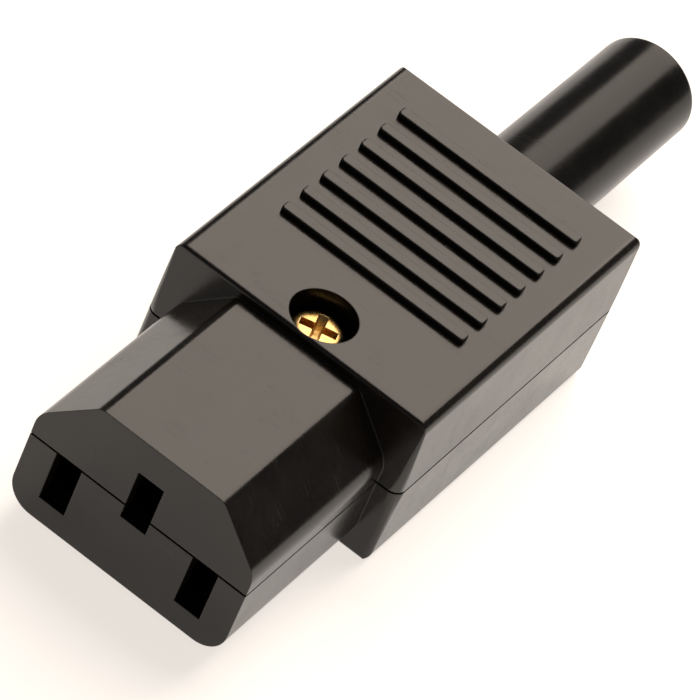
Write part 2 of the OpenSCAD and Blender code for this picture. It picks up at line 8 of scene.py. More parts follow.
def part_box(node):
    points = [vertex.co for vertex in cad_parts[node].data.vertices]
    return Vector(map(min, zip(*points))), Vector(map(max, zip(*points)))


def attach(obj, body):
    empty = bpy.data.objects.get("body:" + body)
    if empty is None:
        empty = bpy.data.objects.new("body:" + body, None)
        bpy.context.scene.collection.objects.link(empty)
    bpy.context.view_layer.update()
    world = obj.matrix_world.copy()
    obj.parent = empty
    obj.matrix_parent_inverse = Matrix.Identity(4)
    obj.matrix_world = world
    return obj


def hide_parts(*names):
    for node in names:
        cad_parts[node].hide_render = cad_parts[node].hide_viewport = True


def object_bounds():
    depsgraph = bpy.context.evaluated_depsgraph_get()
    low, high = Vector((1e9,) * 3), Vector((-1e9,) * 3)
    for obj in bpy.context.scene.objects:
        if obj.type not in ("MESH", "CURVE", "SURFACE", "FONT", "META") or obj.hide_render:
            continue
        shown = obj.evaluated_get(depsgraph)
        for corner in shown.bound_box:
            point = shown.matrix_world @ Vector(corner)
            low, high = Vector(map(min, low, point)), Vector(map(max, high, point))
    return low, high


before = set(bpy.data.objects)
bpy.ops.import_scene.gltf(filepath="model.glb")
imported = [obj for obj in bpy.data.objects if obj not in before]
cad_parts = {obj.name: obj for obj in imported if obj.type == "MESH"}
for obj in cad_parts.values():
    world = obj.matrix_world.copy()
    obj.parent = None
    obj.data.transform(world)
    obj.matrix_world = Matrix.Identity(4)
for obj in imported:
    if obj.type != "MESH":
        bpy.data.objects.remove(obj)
cadLow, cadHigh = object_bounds()
mm = 0.001
scene = bpy.context.scene

# Camera
cameraView = {
    "azimuth": 17.787,
    "elevation": 42.855,
    "roll": 24.545,
    "distance": 516.5 * mm,
    "lens": 321.66,
    "sensor": 36.0,
    "aim": (1.053 * mm, -9.976 * mm, 0.12 * mm),  # from the middle of the connector's box
    "near": 0.01,
    "far": 20,
}


def placeCamera(values):
    azimuth, elevation, roll = (math.radians(values[k]) for k in ("azimuth", "elevation", "roll"))
    level = math.cos(elevation)
    away = Vector((math.sin(azimuth) * level, -math.cos(azimuth) * level, math.sin(elevation)))
    across = (-away).cross(Vector((0, 0, 1))).normalized()
    above = across.cross(-away)
    right = math.cos(roll) * across + math.sin(roll) * above
    up = math.cos(roll) * above - math.sin(roll) * across
    aim = (Vector(cadLow) + Vector(cadHigh)) / 2 + Vector(values["aim"])
    lens = bpy.data.cameras.new("camera")
    lens.sensor_width = values["sensor"]
    lens.lens = values["lens"]
    lens.clip_start = values["near"]
    lens.clip_end = values["far"]
    camera = bpy.data.objects.new("camera", lens)
    scene.collection.objects.link(camera)
    turn = Matrix((right, up, away)).transposed().to_4x4()
    camera.matrix_world = Matrix.Translation(aim + away * values["distance"]) @ turn
    scene.camera = camera


placeCamera(cameraView)
print("camera placed")


# Node helpers: each takes values or other nodes' outputs
def feed(tree, socket, value):
    if isinstance(value, bpy.types.NodeSocket):
        tree.links.new(value, socket)
    else:
        socket.default_value = value


def addNode(tree, kind, inputs=None, **settings):
    node = tree.nodes.new(kind)
    for name, value in settings.items():
        setattr(node, name, value)
    for name, value in (inputs or {}).items():
        feed(tree, node.inputs[name], value)
    return node


def mathNode(tree, operation, first, second=0.0, clamp=False):
    node = addNode(tree, "ShaderNodeMath", operation=operation, use_clamp=clamp)
    feed(tree, node.inputs[0], first)
    feed(tree, node.inputs[1], second)
    return node.outputs[0]


def multiply(tree, first, second, clamp=False):
    return mathNode(tree, "MULTIPLY", first, second, clamp)


def combine(tree, x=0.0, y=0.0, z=0.0):
    return addNode(tree, "ShaderNodeCombineXYZ", {"X": x, "Y": y, "Z": z}).outputs[0]


def rangeNode(tree, value, low, high, outLow=0.0, outHigh=1.0):
    return addNode(tree, "ShaderNodeMapRange", {
        "Value": value, "From Min": low, "From Max": high, "To Min": outLow, "To Max": outHigh,
    }).outputs["Result"]


def noiseNode(tree, place, scale, detail, roughness=0.5):
    return addNode(tree, "ShaderNodeTexNoise", {
        "Vector": place, "Scale": scale, "Detail": detail, "Roughness": roughness}).outputs["Fac"]


def mixColour(tree, factor, first, second):
    node = addNode(tree, "ShaderNodeMix", data_type="RGBA")
    for index, value in ((0, factor), (6, first), (7, second)):  # the mix node's colour sockets
        feed(tree, node.inputs[index], value)
    return node.outputs[2]


def newGroup(name, kind, inputs, outputs):
    tree = bpy.data.node_groups.new(name, kind)
    for label, socketKind, value in inputs:
        socket = tree.interface.new_socket(name=label, in_out="INPUT", socket_type=socketKind)
        if value is not None:
            socket.default_value = value
    for label, socketKind in outputs:
        tree.interface.new_socket(name=label, in_out="OUTPUT", socket_type=socketKind)
    given = tree.nodes.new("NodeGroupInput").outputs
    result = tree.nodes.new("NodeGroupOutput").inputs
    return tree, given, result


# Fine moulded or cast surface: height, tone and small pits
grainLook = {
    "fineDetail": 3.0, "fineRough": 0.6, "fineShare": 0.4,
    "broadDetail": 4.0, "broadRough": 0.55, "broadShare": 0.6,
    "toneRange": (0.35, 0.65), "speckChance": 0.72, "speckPatches": (0.45, 0.6),
}


def makeGrainGroup(look):
    tree, given, result = newGroup(
        "surfaceGrain", "ShaderNodeTree",
        [("Vector", "NodeSocketVector", None), ("Grain Scale", "NodeSocketFloat", 2600.0),
         ("Blotch Scale", "NodeSocketFloat", 220.0), ("Speck Scale", "NodeSocketFloat", 900.0),
         ("Speck Size", "NodeSocketFloat", 0.1)],
        [("Height", "NodeSocketFloat"), ("Tone", "NodeSocketFloat"), ("Specks", "NodeSocketFloat")],
    )
    place = given["Vector"]
    fine = noiseNode(tree, place, given["Grain Scale"], look["fineDetail"], look["fineRough"])
    broad = noiseNode(tree, place, given["Blotch Scale"], look["broadDetail"], look["broadRough"])
    patchy = rangeNode(tree, noiseNode(tree, place, given["Blotch Scale"], 1.0), *look["speckPatches"])
    dots = addNode(tree, "ShaderNodeTexVoronoi", {
        "Vector": place, "Scale": given["Speck Scale"], "Randomness": 1.0}).outputs
    near = mathNode(tree, "LESS_THAN", dots["Distance"], given["Speck Size"])
    draw = addNode(tree, "ShaderNodeSeparateColor", {"Color": dots["Color"]}).outputs[0]
    chosen = mathNode(tree, "GREATER_THAN", draw, look["speckChance"])
    specks = multiply(tree, multiply(tree, near, chosen), patchy)
    tone = mathNode(tree, "ADD", multiply(tree, fine, look["fineShare"]),
                    multiply(tree, broad, look["broadShare"]))
    feed(tree, result["Height"], mathNode(tree, "SUBTRACT", fine, specks))
    feed(tree, result["Tone"], rangeNode(tree, tone, *look["toneRange"]))
    feed(tree, result["Specks"], specks)
    return tree


# Rubbed edges, broken up by noise, and the normal of a slightly rounded edge
wearLook = {"samples": 4, "edge": (0.995, 0.86), "detail": 3.0, "broken": (0.38, 0.62)}


def makeWearGroup(look):
    tree, given, result = newGroup(
        "edgeWear", "ShaderNodeTree",
        [("Vector", "NodeSocketVector", None), ("Radius", "NodeSocketFloat", 0.15 * mm),
         ("Break Scale", "NodeSocketFloat", 900.0)],
        [("Wear", "NodeSocketFloat"), ("Normal", "NodeSocketVector")],
    )
    rounded = addNode(tree, "ShaderNodeBevel", {"Radius": given["Radius"]}, samples=look["samples"])
    plain = addNode(tree, "ShaderNodeNewGeometry")
    turn = addNode(tree, "ShaderNodeVectorMath", operation="DOT_PRODUCT")
    feed(tree, turn.inputs[0], rounded.outputs["Normal"])
    feed(tree, turn.inputs[1], plain.outputs["Normal"])
    edge = rangeNode(tree, turn.outputs["Value"], *look["edge"])
    noise = noiseNode(tree, given["Vector"], given["Break Scale"], look["detail"])
    broken = rangeNode(tree, noise, *look["broken"])
    feed(tree, result["Wear"], multiply(tree, edge, broken, clamp=True))
    feed(tree, result["Normal"], rounded.outputs["Normal"])
    return tree


# Thin straight rubs in two directions: turn and stretch of each
scratchLook = {
    "ways": ((0.5, 26.0), (-0.95, 34.0)), "lean": (0.15, 0.1),
    "patchScale": 310.0, "patchSpread": 90.0, "patches": (0.56, 0.66),
}


def makeScratchGroup(look):
    tree, given, result = newGroup(
        "fineScratches", "ShaderNodeTree",
        [("Vector", "NodeSocketVector", None), ("Scale", "NodeSocketFloat", 160.0),
         ("Width", "NodeSocketFloat", 0.008)],
        [("Scratches", "NodeSocketFloat")],
    )
    total = None
    for turn, stretch in look["ways"]:
        turned = addNode(tree, "ShaderNodeMapping", {
            "Vector": given["Vector"], "Rotation": (*look["lean"], turn), "Scale": (1.0, stretch, 1.0)})
        lines = noiseNode(tree, turned.outputs["Vector"], given["Scale"], 0.0)
        offCentre = mathNode(tree, "ABSOLUTE", mathNode(tree, "SUBTRACT", lines, 0.5))
        thin = mathNode(tree, "LESS_THAN", offCentre, given["Width"])
        patchScale = look["patchScale"] + look["patchSpread"] * turn
        patch = noiseNode(tree, given["Vector"], patchScale, 1.0)
        thin = multiply(tree, thin, rangeNode(tree, patch, *look["patches"]))
        total = thin if total is None else mathNode(tree, "MAXIMUM", total, thin)
    feed(tree, result["Scratches"], total)
    return tree


grainGroup = makeGrainGroup(grainLook)
wearGroup = makeWearGroup(wearLook)
scratchGroup = makeScratchGroup(scratchLook)


# Materials
def makeMaterial(name, values):
    material = bpy.data.materials.new(name)
    material.use_nodes = True
    tree = material.node_tree
    shader = tree.nodes["Principled BSDF"].inputs
    place = addNode(tree, "ShaderNodeTexCoord").outputs["Object"]
    if "stretch" in values:
        place = addNode(tree, "ShaderNodeMapping", {
            "Vector": place, "Scale": values["stretch"]}).outputs["Vector"]
    grain = addNode(tree, "ShaderNodeGroup", node_tree=grainGroup)
    wear = addNode(tree, "ShaderNodeGroup", node_tree=wearGroup)
    scratch = addNode(tree, "ShaderNodeGroup", node_tree=scratchGroup)
    for node in (grain, wear, scratch):
        feed(tree, node.inputs["Vector"], place)
    for node, label, key in (
            (grain, "Grain Scale", "grainScale"), (grain, "Blotch Scale", "blotchScale"),
            (grain, "Speck Scale", "speckScale"), (grain, "Speck Size", "speckSize"),
            (wear, "Radius", "wearRadius"),
            (scratch, "Scale", "scratchScale"), (scratch, "Width", "scratchWidth")):
        node.inputs[label].default_value = values[key]
    specks, tone = grain.outputs["Specks"], grain.outputs["Tone"]
    worn, scratches = wear.outputs["Wear"], scratch.outputs["Scratches"]
    colour = mixColour(tree, tone, values["dark"], values["light"])
    for mask, amount, tint in ((specks, "speckAmount", "speck"), (worn, "wearAmount", "worn"),
                               (scratches, "scratchAmount", "worn")):
        colour = mixColour(tree, multiply(tree, mask, values[amount]), colour, values[tint])
    rough = rangeNode(tree, tone, 0.0, 1.0, values["roughLow"], values["roughHigh"])
    rough = mathNode(tree, "ADD", rough, multiply(tree, scratches, values["scratchRough"]))
    rough = mathNode(tree, "ADD", rough, multiply(tree, worn, values["wearRough"]), clamp=True)
    cut = multiply(tree, scratches, values["scratchDepth"])
    height = mathNode(tree, "SUBTRACT", grain.outputs["Height"], cut)
    bump = addNode(tree, "ShaderNodeBump", {
        "Height": height, "Strength": values["bump"], "Distance": values["bumpDepth"],
        "Normal": wear.outputs["Normal"]})
    feed(tree, shader["Base Color"], colour)
    feed(tree, shader["Roughness"], rough)
    feed(tree, shader["Normal"], bump.outputs["Normal"])
    shader["Metallic"].default_value = values["metallic"]
    shader["IOR"].default_value = values["ior"]
    return material


plasticValues = {
    "grainScale": 3000.0, "blotchScale": 260.0, "speckScale": 1100.0, "speckSize": 0.2,
    "dark": (0.0068, 0.0054, 0.0043, 1), "light": (0.014, 0.0112, 0.0088, 1),
    "speck": (0.002, 0.0018, 0.0016, 1), "speckAmount": 0.8,
    "worn": (0.05, 0.044, 0.037, 1), "wearAmount": 0.2, "wearRadius": 0.16 * mm, "wearRough": 0.05,
    "scratchScale": 90.0, "scratchWidth": 0.004, "scratchAmount": 0.14,
    "scratchRough": 0.12, "scratchDepth": 0.5,
    "roughLow": 0.16, "roughHigh": 0.25, "bump": 0.42, "bumpDepth": 0.01 * mm,
    "metallic": 0.0, "ior": 1.45,
}
rubberValues = dict(
    plasticValues, grainScale=2200.0, dark=(0.005, 0.0046, 0.004, 1), light=(0.009, 0.0083, 0.007, 1),
    roughLow=0.19, roughHigh=0.27, bump=0.2, wearAmount=0.2, scratchAmount=0.1, ior=1.32)
clampValues = dict(
    plasticValues, dark=(0.02, 0.02, 0.02, 1), light=(0.036, 0.035, 0.034, 1),
    roughLow=0.45, roughHigh=0.58, bump=0.5)
brassValues = {
    "grainScale": 2400.0, "blotchScale": 480.0, "speckScale": 1500.0, "speckSize": 0.14,
    "dark": (0.55, 0.33, 0.10, 1), "light": (0.78, 0.55, 0.24, 1),
    "speck": (0.16, 0.08, 0.03, 1), "speckAmount": 0.6,
    "worn": (0.95, 0.84, 0.58, 1), "wearAmount": 0.6, "wearRadius": 0.1 * mm, "wearRough": -0.06,
    "scratchScale": 300.0, "scratchWidth": 0.014, "scratchAmount": 0.35,
    "scratchRough": 0.12, "scratchDepth": 0.5,
    "roughLow": 0.2, "roughHigh": 0.34, "bump": 0.25, "bumpDepth": 0.01 * mm,
    "metallic": 1.0, "ior": 1.5,
}
machinedValues = dict(
    brassValues, dark=(0.52, 0.36, 0.15, 1), light=(0.70, 0.52, 0.26, 1), worn=(0.9, 0.78, 0.5, 1),
    roughLow=0.26, roughHigh=0.42, stretch=(1.0, 0.12, 1.0))
sheetValues = dict(
    brassValues, dark=(0.58, 0.40, 0.18, 1), light=(0.76, 0.58, 0.30, 1), worn=(0.94, 0.83, 0.56, 1),
    roughLow=0.22, roughHigh=0.36, stretch=(1.0, 0.08, 1.0))
steelValues = dict(
    brassValues, dark=(0.42, 0.42, 0.41, 1), light=(0.62, 0.62, 0.60, 1), speck=(0.2, 0.18, 0.15, 1),
    worn=(0.85, 0.85, 0.83, 1), roughLow=0.24, roughHigh=0.4)

finishes = {
    "housing_plastic": makeMaterial("housingPlastic", plasticValues),
    "boot_rubber": makeMaterial("bootRubber", rubberValues),
    "clamp_plastic": makeMaterial("clampPlastic", clampValues),
    "screw_brass": makeMaterial("screwBrass", brassValues),
    "terminal_brass": makeMaterial("machinedBrass", machinedValues),
    "contact_brass": makeMaterial("contactSheet", sheetValues),
    "clamp_screw_steel": makeMaterial("zincSteel", steelValues),
}
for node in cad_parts.values():  # carried-over nodes take the finished materials
    for place in node.material_slots:
        place.material = finishes[place.material.name]
print("materials made")

# Mesh helpers
meshCare = {
    "weld": 0.0005 * mm,  # vertices nearer than this are one
    "flat": 0.4,  # faces that turn less than this are one, in degrees
    "sharp": 32,  # edges that turn more than this are bevelled and stay sharp
    "areaWeight": 90,
}


def newPiece(name, mesh, slotName):
    piece = bpy.data.objects.new(name, mesh)
    scene.collection.objects.link(piece)
    mesh.materials.clear()
    mesh.materials.append(finishes[slotName])
    return piece


def pieceFrom(name, bm, slotName):
    mesh = bpy.data.meshes.new(name)
    bm.to_mesh(mesh)
    bm.free()
    return newPiece(name, mesh, slotName)


def register(piece, slotName, *nodes):
    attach(piece, "root")
    if nodes:
        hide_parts(*nodes)


def weldedCopy(node):
    bm = bmesh.new()
    bm.from_mesh(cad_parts[node].data)
    bmesh.ops.remove_doubles(bm, verts=bm.verts, dist=meshCare["weld"])
    return bm


def joinFlats(bm):
    bmesh.ops.dissolve_limit(bm, angle_limit=math.radians(meshCare["flat"]), verts=bm.verts, edges=bm.edges)


def bakeModifiers(piece):
    depsgraph = bpy.context.evaluated_depsgraph_get()
    mesh = bpy.data.meshes.new_from_object(piece.evaluated_get(depsgraph), depsgraph=depsgraph)
    piece.modifiers.clear()
    old = piece.data
    piece.data = mesh
    bpy.data.meshes.remove(old)


def softenEdges(piece, width, segments=2, angle=meshCare["sharp"], clamp=True):
    bevel = piece.modifiers.new("softEdges", "BEVEL")
    bevel.width = width
    bevel.segments = segments
    bevel.limit_method = "ANGLE"
    bevel.angle_limit = math.radians(angle)
    bevel.use_clamp_overlap = clamp
    bakeModifiers(piece)


def smoothByAngle(piece, angle=meshCare["sharp"]):  # soft shading that stays flat on the flat faces
    mesh = piece.data
    mesh.shade_smooth()
    bm = bmesh.new()
    bm.from_mesh(mesh)
    for edge in bm.edges:
        edge.smooth = len(edge.link_faces) == 2 and edge.calc_face_angle(0) < math.radians(angle)
    bm.to_mesh(mesh)
    bm.free()
    weighted = piece.modifiers.new("flatFaces", "WEIGHTED_NORMAL")
    weighted.keep_sharp = True
    weighted.weight = meshCare["areaWeight"]
    bakeModifiers(piece)


# Upper shell, without its ribs
upperShellSizes = {"edge": 0.12, "segments": 2, "leastRib": 0.5, "above": 0.02}


def ribFoot():  # height of the cover's flat top: the highest level that lies below the ribs' edges
    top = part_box("upper_shell")[1][2]
    levels = {round(v.co.z / mm, 2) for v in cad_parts["upper_shell"].data.vertices}
    return max(level for level in levels if level < top / mm - upperShellSizes["leastRib"]) * mm


def makeUpperShell(sizes):
    top = ribFoot() + sizes["above"] * mm
    bm = weldedCopy("upper_shell")
    doomed = [v for v in bm.verts if v.co.z > top]
    bmesh.ops.delete(bm, geom=doomed, context="VERTS")
    rims = [e for e in bm.edges if len(e.link_faces) == 1]
    bmesh.ops.edgeloop_fill(bm, edges=rims)
    joinFlats(bm)
    print("open edges on the upper shell:", sum(len(e.link_faces) != 2 for e in bm.edges))
    piece = pieceFrom("upperShell", bm, "housing_plastic")
    softenEdges(piece, sizes["edge"] * mm, sizes["segments"])
    smoothByAngle(piece)
    register(piece, "housing_plastic", "upper_shell")


# Geometry Nodes helpers
def moved(tree, geometry, **change):
    inputs = {"Geometry": geometry}
    inputs.update({name.capitalize(): value for name, value in change.items()})
    return addNode(tree, "GeometryNodeTransform", inputs).outputs[0]


def joined(tree, *parts):
    node = addNode(tree, "GeometryNodeJoinGeometry")
    for part in parts:
        feed(tree, node.inputs[0], part)
    return node.outputs[0]


def scattered(tree, points, instance):  # a real copy of the instance on each point
    spread = addNode(tree, "GeometryNodeInstanceOnPoints", {"Points": points, "Instance": instance})
    return addNode(tree, "GeometryNodeRealizeInstances", {"Geometry": spread.outputs[0]}).outputs[0]


def finished(tree, geometry, material):
    smooth = addNode(tree, "GeometryNodeSetShadeSmooth", {"Geometry": geometry}).outputs[0]
    return addNode(tree, "GeometryNodeSetMaterial", {"Geometry": smooth, "Material": material}).outputs[0]


def merged(tree, geometry, distance):
    return addNode(tree, "GeometryNodeMergeByDistance", {
        "Geometry": geometry, "Distance": distance}).outputs[0]


def shapeTree(name, lengths, others):  # a tree with one geometry in and out and a Material
    inputs = [("Geometry", "NodeSocketGeometry", None)]
    inputs += [(label, "NodeSocketFloat", value * mm) for label, value in lengths.items()]
    inputs += others + [("Material", "NodeSocketMaterial", None)]
    return newGroup(name, "GeometryNodeTree", inputs, [("Geometry", "NodeSocketGeometry")])


def growFrom(name, points, tree, values, slotName):  # a plain mesh from points and such a tree
    mesh = bpy.data.meshes.new(name)
    mesh.from_pydata([tuple(p) for p in points], [], [])
    piece = newPiece(name, mesh, slotName)
    modifier = piece.modifiers.new("nodes", "NODES")
    modifier.node_group = tree
    values = dict(values, Material=finishes[slotName])
    for item in tree.interface.items_tree:
        if item.item_type == "SOCKET" and item.in_out == "INPUT" and item.name in values:
            modifier[item.identifier] = values[item.name]
    bakeModifiers(piece)
    bm = bmesh.new()
    bm.from_mesh(piece.data)
    bmesh.ops.remove_doubles(bm, verts=bm.verts, dist=0.0001 * mm)
    bmesh.ops.recalc_face_normals(bm, faces=bm.faces)
    bm.to_mesh(piece.data)
    bm.free()
    return piece


# Grip ribs
ribSizes = {
    "count": 7, "pitch": 2.95, "length": 19.0, "width": 1.3, "height": 0.55, "sunk": 0.3,
    "first": 10.2,  # from the housing's front face, which lies screwSetback in front of the screw
    "screwSetback": 1.2, "corner": 0.35, "draft": 0.15, "edge": 0.14, "segments": 3, "sharp": 40,
}


def makeRibTree():
    tree, given, result = shapeTree(
        "gripRibRow",
        {"Pitch": 3.0, "Length": 19.0, "Width": 1.3, "Height": 0.55, "Sunk": 0.3, "Corner": 0.35,
         "Draft": 0.15},
        [("Count", "NodeSocketInt", 7)])
    # one rib: its plan with rounded corners, filled, sunk into the cover and raised
    plan = addNode(tree, "GeometryNodeCurvePrimitiveQuadrilateral", {
        "Width": given["Length"], "Height": given["Width"]})
    turned = addNode(tree, "GeometryNodeFilletCurve", {
        "Curve": plan.outputs["Curve"], "Count": 5, "Radius": given["Corner"]}, mode="POLY")
    filled = addNode(tree, "GeometryNodeFillCurve", {"Curve": turned.outputs[0]}, mode="NGONS")
    foot = moved(tree, filled.outputs[0], translation=combine(tree, z=multiply(tree, given["Sunk"], -1.0)))
    rise = combine(tree, z=mathNode(tree, "ADD", given["Height"], given["Sunk"]))
    raised = addNode(tree, "GeometryNodeExtrudeMesh", {"Mesh": foot, "Offset": rise, "Individual": False})
    shrink = mathNode(tree, "SUBTRACT", 1.0, mathNode(tree, "DIVIDE", given["Draft"], given["Width"]))
    leaned = addNode(tree, "GeometryNodeScaleElements", {
        "Geometry": raised.outputs["Mesh"], "Selection": raised.outputs["Top"], "Scale": shrink,
        "Axis": (0.0, 1.0, 0.0)}, domain="FACE", scale_mode="SINGLE_AXIS")
    under = addNode(tree, "GeometryNodeFlipFaces", {"Mesh": foot})
    rib = merged(tree, joined(tree, leaned.outputs[0], under.outputs[0]), 0.001 * mm)
    # a row of them along Y from each given point
    row = addNode(tree, "GeometryNodeMeshLine", {
        "Count": given["Count"], "Offset": combine(tree, y=given["Pitch"])})
    spots = scattered(tree, given["Geometry"], row.outputs[0])
    feed(tree, result[0], finished(tree, scattered(tree, spots, rib), given["Material"]))
    return tree


def makeGripRibs(sizes):
    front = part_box("cover_screw")[0][1] - sizes["screwSetback"] * mm
    start = (0, front + (sizes["first"] + sizes["width"] / 2) * mm, ribFoot())
    values = {name.capitalize(): sizes[name] * mm
              for name in ("pitch", "length", "width", "height", "sunk", "corner", "draft")}
    values["Count"] = sizes["count"]
    piece = growFrom("gripRibs", [start], makeRibTree(), values, "housing_plastic")
    softenEdges(piece, sizes["edge"] * mm, sizes["segments"], sizes["sharp"], clamp=False)
    smoothByAngle(piece, sizes["sharp"])
    register(piece, "housing_plastic")


# Screws
crossHead = {"cross": True, "arm": 2.5, "armWidth": 0.85, "recess": 1.2, "shank": 2.5}
slotHead = {"cross": False, "arm": 3.4, "armWidth": 0.7, "recess": 0.8, "shank": 2.5}
screwShape = {
    "headBlend": 0.3, "headRings": 40, "headSides": 65,
    "shankBlend": 0.12, "shankRings": 24, "shankSides": 33, "overlap": 0.2 * mm,
    "flatShare": 0.1,  # share of the rings that make the flat foot
    "armTop": 1.35, "armBottom": 0.55, "armThin": 0.74, "armDeep": 2.0, "sharp": 34,
}


def makeScrewTree(shape):
    tree, given, result = shapeTree(
        "screwMaker",
        {"Head Radius": 2.3, "Head Height": 1.7, "Shank Radius": 1.25, "Shank Length": 9.0, "Arm": 1.3,
         "Arm Width": 0.6, "Recess": 1.2},
        [("Cross", "NodeSocketBool", True), ("Turn", "NodeSocketFloat", 0.0)])

    def spun(radius, height, blend, rings, sides):  # a grid rolled up into a closed round solid
        grid = addNode(tree, "GeometryNodeMeshGrid", {
            "Size X": 1.0, "Size Y": 1.0, "Vertices X": sides, "Vertices Y": rings})
        spot = addNode(tree, "GeometryNodeInputPosition").outputs[0]
        apart = addNode(tree, "ShaderNodeSeparateXYZ", {"Vector": spot}).outputs
        flat = shape["flatShare"]
        turn = multiply(tree, apart["X"], 2 * math.pi)
        way = mathNode(tree, "ADD", apart["Y"], 0.5)
        foot = mathNode(tree, "MINIMUM", mathNode(tree, "DIVIDE", way, flat), 1.0)
        rise = mathNode(tree, "DIVIDE", mathNode(tree, "SUBTRACT", way, flat), 1 - flat)
        quarter = multiply(tree, mathNode(tree, "MAXIMUM", rise, 0.0), math.pi / 2)
        out, up = (mathNode(tree, "MAXIMUM", mathNode(tree, wave, quarter), 0.0)
                   for wave in ("COSINE", "SINE"))
        out, up = (mathNode(tree, "POWER", value, blend) for value in (out, up))
        reach = multiply(tree, mathNode(tree, "MINIMUM", foot, out), radius)
        place = combine(tree, multiply(tree, reach, mathNode(tree, "COSINE", turn)),
                        multiply(tree, reach, mathNode(tree, "SINE", turn)), multiply(tree, up, height))
        bent = addNode(tree, "GeometryNodeSetPosition", {"Geometry": grid.outputs["Mesh"], "Position": place})
        return merged(tree, bent.outputs[0], 0.002 * mm)

    def armCutter(quarterTurn):  # a four-sided cone, thinned to one arm across the head
        cone = addNode(tree, "GeometryNodeMeshCone", {
            "Vertices": 4, "Radius Top": multiply(tree, given["Arm"], shape["armTop"]),
            "Radius Bottom": multiply(tree, given["Arm"], shape["armBottom"]),
            "Depth": multiply(tree, given["Recess"], shape["armDeep"])})
        arm = moved(tree, cone.outputs["Mesh"],
                    translation=combine(tree, z=multiply(tree, given["Recess"], -1.0)))
        arm = moved(tree, arm, rotation=(0, 0, math.pi / 4))
        thin = mathNode(tree, "DIVIDE", multiply(tree, given["Arm Width"], shape["armThin"]), given["Arm"])
        arm = moved(tree, arm, scale=combine(tree, 1.0, thin, 1.0))
        arm = moved(tree, arm, translation=combine(tree, z=given["Head Height"]))
        turn = mathNode(tree, "ADD", given["Turn"], quarterTurn)
        return moved(tree, arm, rotation=combine(tree, z=turn))

    head = spun(given["Head Radius"], given["Head Height"],
                shape["headBlend"], shape["headRings"], shape["headSides"])
    second = addNode(tree, "GeometryNodeSwitch", {
        "Switch": given["Cross"], "True": armCutter(math.pi / 2)}, input_type="GEOMETRY")
    carved = addNode(tree, "GeometryNodeMeshBoolean", {
        "Mesh 1": head, "Mesh 2": joined(tree, armCutter(0.0), second.outputs[0]),
        "Self Intersection": True}, operation="DIFFERENCE", solver="EXACT")
    shaft = spun(given["Shank Radius"], 1.0, shape["shankBlend"], shape["shankRings"], shape["shankSides"])
    down = combine(tree, 1.0, -1.0, multiply(tree, given["Shank Length"], -1.0))
    shaft = moved(tree, shaft, scale=down, translation=(0, 0, shape["overlap"]))
    screws = scattered(tree, given["Geometry"], joined(tree, carved.outputs[0], shaft))
    feed(tree, result[0], finished(tree, screws, given["Material"]))
    return tree


screwTree = makeScrewTree(screwShape)


def makeScrews(name, nodes, headHeight, sizes, slotName, turn):
    spots = []
    for node in nodes:
        low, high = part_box(node)
        spots.append(((low[0] + high[0]) / 2, (low[1] + high[1]) / 2, high[2] - headHeight * mm))
    low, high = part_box(nodes[0])
    piece = growFrom(name, spots, screwTree, {
        "Head Radius": (high[0] - low[0]) / 2, "Head Height": headHeight * mm,
        "Shank Radius": sizes["shank"] / 2 * mm, "Shank Length": high[2] - low[2] - headHeight * mm,
        "Arm": sizes["arm"] * mm, "Arm Width": sizes["armWidth"] * mm, "Recess": sizes["recess"] * mm,
        "Cross": sizes["cross"], "Turn": turn}, slotName)
    smoothByAngle(piece, screwShape["sharp"])
    register(piece, slotName, *nodes)


# Cord boot: its collar inside the housing, and the sleeve, which swells once it is outside
bootSizes = {
    "collarThick": 1.8, "bore": 3.6, "root": 4.9, "swell": 5.04, "tip": 4.94, "rim": 0.55, "lip": 0.2,
    "fillet": 0.25, "reach": 0.25, "clear": 0.05, "flare": 0.2, "stations": 24, "arcSteps": 4,
    "rimSteps": 8, "sides": 96, "sharp": 50,
}


def arc(centre, radius, fromAngle, toAngle, steps):
    angles = [math.radians(fromAngle + (toAngle - fromAngle) * i / steps) for i in range(steps + 1)]
    return [(centre[0] + radius * math.cos(a), centre[1] + radius * math.sin(a)) for a in angles]


def bootProfile(sizes, front, back, collar, outside):  # a closed loop of (station, radius)
    fillet, lip, rim, bore, steps = (sizes[k] for k in ("fillet", "lip", "rim", "bore", "arcSteps"))
    collarBack = front + sizes["collarThick"]
    profile = [(front, bore)]
    profile += arc((front + fillet, collar - fillet), fillet, 180, 90, steps)
    profile += arc((collarBack - fillet, collar - fillet), fillet, 90, 0, steps)
    profile += [(collarBack, sizes["root"] + fillet)]
    profile += arc((collarBack + fillet, sizes["root"] + fillet), fillet, 180, 270, steps)[1:]
    profile += [(outside, sizes["root"])]
    start = outside + sizes["flare"]
    for i in range(sizes["stations"]):
        share = i / sizes["stations"]
        profile += [(start + (back - start - rim) * share,
                     sizes["swell"] + (sizes["tip"] - sizes["swell"]) * share)]
    profile += arc((back - rim, sizes["tip"] - rim), rim, 90, 0, sizes["rimSteps"])
    profile += arc((back - lip, bore + lip), lip, 0, -90, steps)
    return profile


